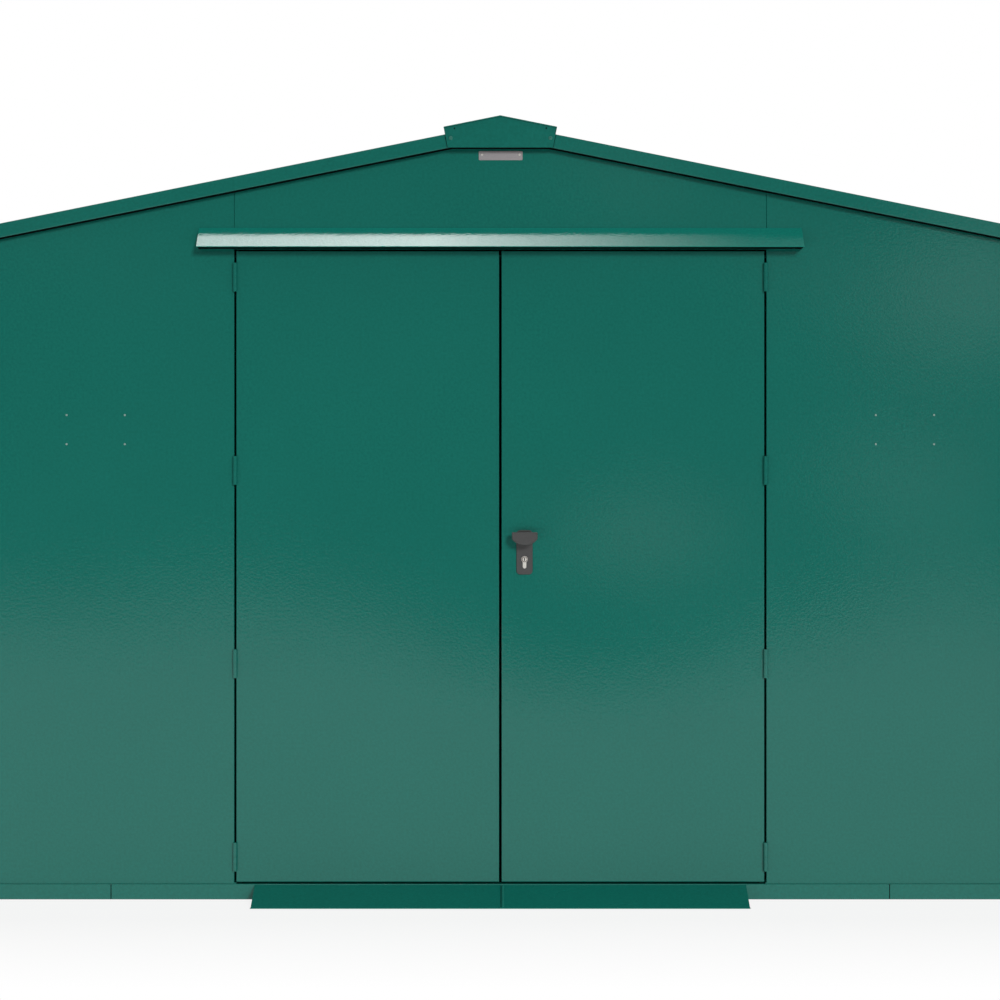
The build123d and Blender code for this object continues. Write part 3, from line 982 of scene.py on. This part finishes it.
    def at_foot(self, node: str) -> None:
        """A painted strip over the joint between a front panel's foot and the base rail.

        Args:
            node: The front wall panel.
        """
        low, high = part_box(node)
        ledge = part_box("base_front_centre")[1].z
        across = (low.x + self.foot_left, high.x - self.foot_right)
        up = (ledge + self.foot_lift, low.z + self.foot_rise)
        outline = upright(across, self.front - self.clear / 2, up)
        strip = prism(f"foot_{node}", outline, (0, self.thickness, 0))
        self.fitter.fit(strip, Finish.BASE, "base_green")

    def build(self) -> None:
        """Lays all the strips."""
        for node in ("front_wall_left", "front_wall_right"):
            self.at_foot(node)
        self.in_base_seam("left", "base_front_left", "base_front_centre")
        self.in_base_seam("right", "base_front_centre", "base_front_right")
        for node in ("door_post_left", "door_post_right", "door_head"):
            self.on_frame(node)
        for end, outward in ENDS:
            for name, side in SIDES:
                self.under_verge(end, outward, name, side)
        for end, outward in ENDS:
            self.at_cap(end, outward)
            self.cap_rim(end, outward)
        self.in_hood()


@dataclass(frozen=True)
class Patch:
    """A brighter patch on the room's wall: its middle and half size in X and Z, and its level."""

    middle: Pair
    half: Pair
    level: float


@dataclass(frozen=True)
class Room:
    """The dim room behind the camera that the coat mirrors: a wall bent towards the camera.

    The plan gives, by X, how far the wall is from the shed's front.
    """

    plan_x: tuple[float, ...] = (
        -12.0, -4.2, -3.2, -0.92, -0.38, 0.0, 0.37, 0.6, 1.39, 2.12, 4.0, 5.3, 12.0
    )
    plan_far: tuple[float, ...] = (
        14.0, 16.2, 20.0, 13.2, 10.0, 8.2, 7.2, 6.8, 8.5, 11.1, 17.5, 15.0, 13.0
    )
    columns: int = 97
    wing_far: float = 13.5
    wing_columns: int = 10
    height: float = 8.0
    level: float = 0.12
    drift_scale: float = 1.5
    warp: Point = (1.1, 0.0, 0.7)
    mottle: Pair = (0.7, 1.3)
    patches: tuple[Patch, ...] = (
        Patch((1.16, 0.90), (1.05, 0.46), 0.68),
        Patch((4.19, 1.40), (1.6, 0.50), 0.95),
        Patch((4.82, 0.20), (0.8, 0.75), 0.8),
        Patch((4.95, 3.29), (1.2, 1.1), 1.1),
        Patch((0.94, 3.22), (0.9, 0.32), 0.3),
        Patch((2.85, 3.30), (1.2, 0.6), 0.4),
        Patch((-4.7, 3.87), (1.3, 0.7), 0.12),
        Patch((-4.7, 1.36), (1.0, 0.4), 0.08),
    )

    def card(self, front: float) -> bpy.types.Object:
        """Builds the wall from the floor up, with a straight wing forward at each end.

        Args:
            front: Where the shed's front wall is.

        Returns:
            The wall as an object.
        """
        x = np.linspace(self.plan_x[0], self.plan_x[-1], self.columns)
        wing = np.linspace(0.0, self.wing_far, self.wing_columns)
        far = np.concatenate([wing, np.interp(x, self.plan_x, self.plan_far), wing[::-1]])
        x = np.concatenate([wing * 0 + x[0], x, wing * 0 + x[-1]])
        z = np.array([0.0, self.height])[:, None]
        return mesh_object("studio_room", grid_of(x, front - far, z))

    def material(self) -> bpy.types.Material:
        """Builds its glow: a dim level plus soft round patches, warped and mottled by a noise.

        Returns:
            The wall's material.
        """
        material, graph, surface = new_material("studio_room_wall")
        place = graph.object_place()
        noise = {"Scale": self.drift_scale, "Detail": 4.0, "Roughness": 0.65}
        drift = graph.add("ShaderNodeTexNoise", Vector=place, **noise).outputs
        vector, mean = "ShaderNodeVectorMath", (0.5, 0.5, 0.5)
        pull = graph.add(vector, {"operation": "SUBTRACT"}, i0=drift["Color"], i1=mean)
        shift = {"i0": pull.outputs[0], "i1": self.warp, "i2": place}
        warped = graph.add(vector, {"operation": "MULTIPLY_ADD"}, **shift).outputs[0]
        total: Any = self.level
        for patch in self.patches:
            (x, z), (half_x, half_z) = patch.middle, patch.half
            local = graph.add(
                "ShaderNodeMapping",
                Vector=warped,
                Location=(-x / half_x, 0, -z / half_z),
                Scale=(1 / half_x, 0.0, 1 / half_z),
            )
            spot = graph.add(
                "ShaderNodeTexGradient", {"gradient_type": "SPHERICAL"}, Vector=local.outputs[0]
            )
            total = graph.math("MULTIPLY_ADD", spot.outputs[0], patch.level, total)
        mottle = graph.spread(drift[0], NOISE_RANGE, self.mottle)
        graph.join(graph.glow(graph.math("MULTIPLY", total, mottle)), surface)
        return material


@dataclass(frozen=True)
class AreaLamp:
    """A rectangular lamp that gloss doesn't see, turned to face a point."""

    name: str
    middle: Point
    size: Pair
    aim: Point
    watts: float

    def hang(self) -> None:
        """Adds the lamp to the scene."""
        data = bpy.data.lights.new(self.name, "AREA")
        data.shape = "RECTANGLE"
        data.size, data.size_y = self.size
        data.energy = self.watts
        hang_unmirrored(data, self.middle, Vector(self.aim) - Vector(self.middle))


def hang_unmirrored(data: bpy.types.Light, middle: Point, facing: Vector) -> None:
    """Hangs a lamp that neither the camera nor gloss sees.

    Args:
        data: The lamp's data.
        middle: Where it is.
        facing: The direction that it faces.
    """
    lamp = bpy.data.objects.new(data.name, data)
    lamp.location = middle
    lamp.rotation_euler = facing.to_track_quat("-Z", "Y").to_euler()
    lamp.visible_camera = False
    lamp.visible_glossy = False
    bpy.context.scene.collection.objects.link(lamp)


@dataclass
class Studio:
    """Pale floor, white surround, soft lamps, and cards that only the coat's gloss sees.

    The room behind the camera and a dim ceiling over the rain hood are such cards.
    """

    front: float
    room: Room = Room()
    surround: float = 0.25
    floor_tone: str = "f7f7f7"
    floor_radii: tuple[float, ...] = (0.001, 2.0, 5.0, 9.0, 22.0)
    floor_columns: int = 64
    floor_drop: float = 0.0003
    floor_white: float = 0.85
    floor_margin: float = 0.002
    floor_fade: Pair = (1.1, 0.3)
    ceiling_half: float = 1.3
    ceiling_span: Pair = (0.12, -0.4)
    ceiling_height: float = 2.9
    ceiling_level: float = 0.42
    hood_size: Pair = (1.80, 0.08)
    hood_gap: float = 0.03
    hood_edge: float = 0.020
    hood_spread: float = 50.0
    hood_fade: Pair = (-0.2, 0.78)
    hood_power: float = 1.6
    hood_level: float = 0.41
    key_level: float = 1.74
    key_turn: float = 20.0
    key_rise: float = 17.0
    key_angle: float = 12.0
    back_watts: float = 330.0
    low_watts: float = 32.0

    def shown(self, graph: Graph) -> Socket:
        """1 on camera, glossy and transmission rays, else 0."""
        path = graph.add("ShaderNodeLightPath").outputs
        seen = graph.math("MAXIMUM", path["Is Camera Ray"], path["Is Glossy Ray"])
        return graph.math("MAXIMUM", seen, path["Is Transmission Ray"])

    def outside(self, graph: Graph, first: str, last: str) -> Socket:
        """1 on the floor around two nodes' common footprint, and 0 under it, in the shade.

        A place is inside where its distance from the middle is under half the size along both
        X and Y.

        Args:
            graph: The floor's graph.
            first: One node.
            last: The other node.

        Returns:
            The value's socket.
        """
        corners = [corner for node in (first, last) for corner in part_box(node)]
        place = graph.world_place()
        covered: Any = 1.0
        for axis in (0, 1):
            low = min(corner[axis] for corner in corners)
            high = max(corner[axis] for corner in corners)
            middle, half = (low + high) / 2, (high - low) / 2 - self.floor_margin
            near = graph.math("COMPARE", place[axis], middle, half)
            covered = graph.math("MULTIPLY", near, covered)
        return graph.math("SUBTRACT", 1.0, covered)

    def floor(self) -> None:
        """Lays the floor: a disc about the origin, a hair under the shed's feet.

        It is matt and pale, and where it is seen it is mostly white, so that it keeps a faint
        shadow. It turns all white towards the camera, and stays matt under the shed.
        """
        radius = np.array(self.floor_radii)[:, None]
        angle = np.linspace(0, 2 * np.pi, self.floor_columns, endpoint=False)
        grid = grid_of(radius * np.cos(angle), radius * np.sin(angle), -self.floor_drop)
        floor = mesh_object("studio_floor", grid, wrapped=True, base=True)
        material, graph, surface = new_material("studio_floor_paint")
        matt = graph.add("ShaderNodeBsdfDiffuse", Color=linear(self.floor_tone))
        share = graph.math("MULTIPLY", self.shown(graph), self.floor_white)
        for nodes in (("base_left", "base_right"), ("ramp_left", "ramp_right")):
            share = graph.math("MULTIPLY", share, self.outside(graph, *nodes))
        start, stop = (self.front - ahead for ahead in self.floor_fade)
        nearer = graph.spread(graph.world_place()[1], (start, stop), (1 / self.floor_white, 1.0))
        mixed = graph.add(
            "ShaderNodeMixShader",
            i0=graph.math("MULTIPLY", share, nearer),
            i1=matt.outputs[0],
            i2=graph.glow(1.0).outputs[0],
        )
        graph.join(mixed, surface)
        floor.data.materials.append(material)

    def gloss_only(self, card: bpy.types.Object, material: bpy.types.Material) -> None:
        """Paints a card and lets only glossy rays see it.

        Args:
            card: The card.
            material: Its glow.
        """
        card.data.materials.append(material)
        card.visible_camera = False
        card.visible_diffuse = False
        card.visible_shadow = False
        card.visible_transmission = False

    def ceiling(self) -> None:
        """A dim strip straight above the rain hood, whose face would else mirror white."""
        x = np.array([-self.ceiling_half, self.ceiling_half])
        y = self.front + np.array(self.ceiling_span)[:, None]
        card = mesh_object("studio_ceiling", grid_of(x, y, self.ceiling_height))
        material, graph, surface = new_material("studio_ceiling_board")
        graph.join(graph.glow(self.ceiling_level), surface)
        self.gloss_only(card, material)

    def hood_lamp(self) -> None:
        """A long lamp close over the rain hood, mirrored in its face, that fades to the right.

        Only gloss sees it, and only from nearly straight below. Its rear edge ends the highlight
        part of the way up the face. Along X its light falls from 1 to 0 over the fade, to a power.
        """
        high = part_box("rain_hood")[1]
        data = bpy.data.lights.new("lamp_hood", "AREA")
        data.shape = "RECTANGLE"
        data.size, data.size_y = self.hood_size
        data.spread = math.radians(self.hood_spread)
        data.energy = 1.0
        graph = Graph.empty(data)
        fade = graph.spread(graph.world_place()[0], self.hood_fade, (1.0, 0.0))
        curve = graph.math("POWER", fade, self.hood_power)
        glow = graph.glow(graph.math("MULTIPLY", curve, self.hood_level))
        graph.join(glow, graph.add("ShaderNodeOutputLight").inputs["Surface"])
        lamp = bpy.data.objects.new("lamp_hood", data)
        ahead = self.hood_edge + data.size_y / 2
        lamp.location = (0.0, self.front - ahead, high.z + self.hood_gap)
        lamp.visible_camera = False
        lamp.visible_diffuse = False
        bpy.context.scene.collection.objects.link(lamp)

    def key_lamp(self) -> None:
        """A far soft lamp, above and to the right of the eye, that lights the front evenly.

        It looks along (-sin turn cos rise, cos turn cos rise, -sin rise).
        """
        data = bpy.data.lights.new("lamp_key", "SUN")
        data.angle = math.radians(self.key_angle)
        data.energy = self.key_level
        turn, rise = math.radians(self.key_turn), math.radians(self.key_rise)
        level = math.cos(rise)
        facing = Vector((-math.sin(turn) * level, math.cos(turn) * level, -math.sin(rise)))
        hang_unmirrored(data, (2.0, self.front - 5.0, 3.0), facing)

    def world(self) -> None:
        """White to the camera, to gloss and to clear materials, and an even light to the rest."""
        world = bpy.data.worlds.new("studio_surround")
        bpy.context.scene.world = world
        graph = Graph.empty(world)
        level = graph.spread(self.shown(graph), FULL_RANGE, (self.surround, 1.0))
        back = graph.add("ShaderNodeBackground", Color=WHITE, Strength=level)
        graph.join(back, graph.add("ShaderNodeOutputWorld").inputs["Surface"])

    def build(self) -> None:
        """Sets up floor, cards, surround and lamps."""
        self.floor()
        self.gloss_only(self.room.card(self.front), self.room.material())
        self.ceiling()
        self.hood_lamp()
        self.world()
        self.key_lamp()
        back, low = (-5.5, 6.5, 4.0), (0.0, self.front - 2.6, 0.3)
        AreaLamp("lamp_back", back, (3.0, 3.0), (0.0, 0.8, 1.0), self.back_watts).hang()
        AreaLamp("lamp_low", low, (6.5, 0.4), (0.0, self.front, low[2]), self.low_watts).hang()


@dataclass
class View:
    """The camera: level, square to the front, its eye 6 m from the front wall."""

    front: float
    distance: float = 6.0
    height: float = 1.144
    across: float = -0.0009
    sensor_mm: float = 36.0
    focal_pixels: float = 2092.8
    frame_pixels: float = 1000.0

    def build(self) -> None:
        """Adds the camera; its lens is the sensor's width times focal over frame pixels."""
        data = bpy.data.cameras.new("eye")
        data.sensor_width = self.sensor_mm
        data.lens = self.sensor_mm * self.focal_pixels / self.frame_pixels
        camera = bpy.data.objects.new("eye", data)
        camera.location = (self.across, self.front - self.distance, self.height)
        camera.rotation_euler = (math.pi / 2, 0, 0)
        bpy.context.scene.collection.objects.link(camera)
        bpy.context.scene.camera = camera


def main() -> None:
    """Builds the scene around the CAD frame, in order."""
    logging.basicConfig(level=logging.INFO)
    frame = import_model()
    bpy.context.scene.view_settings.view_transform = "Standard"
    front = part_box("front_header")[0].y
    cap_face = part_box("ridge_cap")[0].y + CAP_END_INSET
    wardrobe = Wardrobe()
    wardrobe.dress(frame)
    log.info("dressed %d nodes", len(frame["nodes"]))
    fitter = Fitter(wardrobe)
    Fasteners(fitter, front, cap_face).build()
    BarePlate(fitter, front).build()
    Keyway(fitter).build()
    # The shaded lip is painted darker as shade, the other lighter as a highlight.
    RampLip(fitter, "ramp_lip_shaded", 0.0021, 0.0025, 0.0010, Finish.LIP_SHADE).build()
    RampLip(fitter, "ramp_lip_painted_highlight", 0.0077, 0.0030, 0.0012, Finish.LIP_PAINTED_HIGHLIGHT).build()
    Strips(fitter, front, cap_face).build()
    log.info("fitted %d small pieces", fitter.count)
    Studio(front).build()
    View(front).build()
    log.info("set up the studio and the camera")


if __name__ == "__main__":
    main()
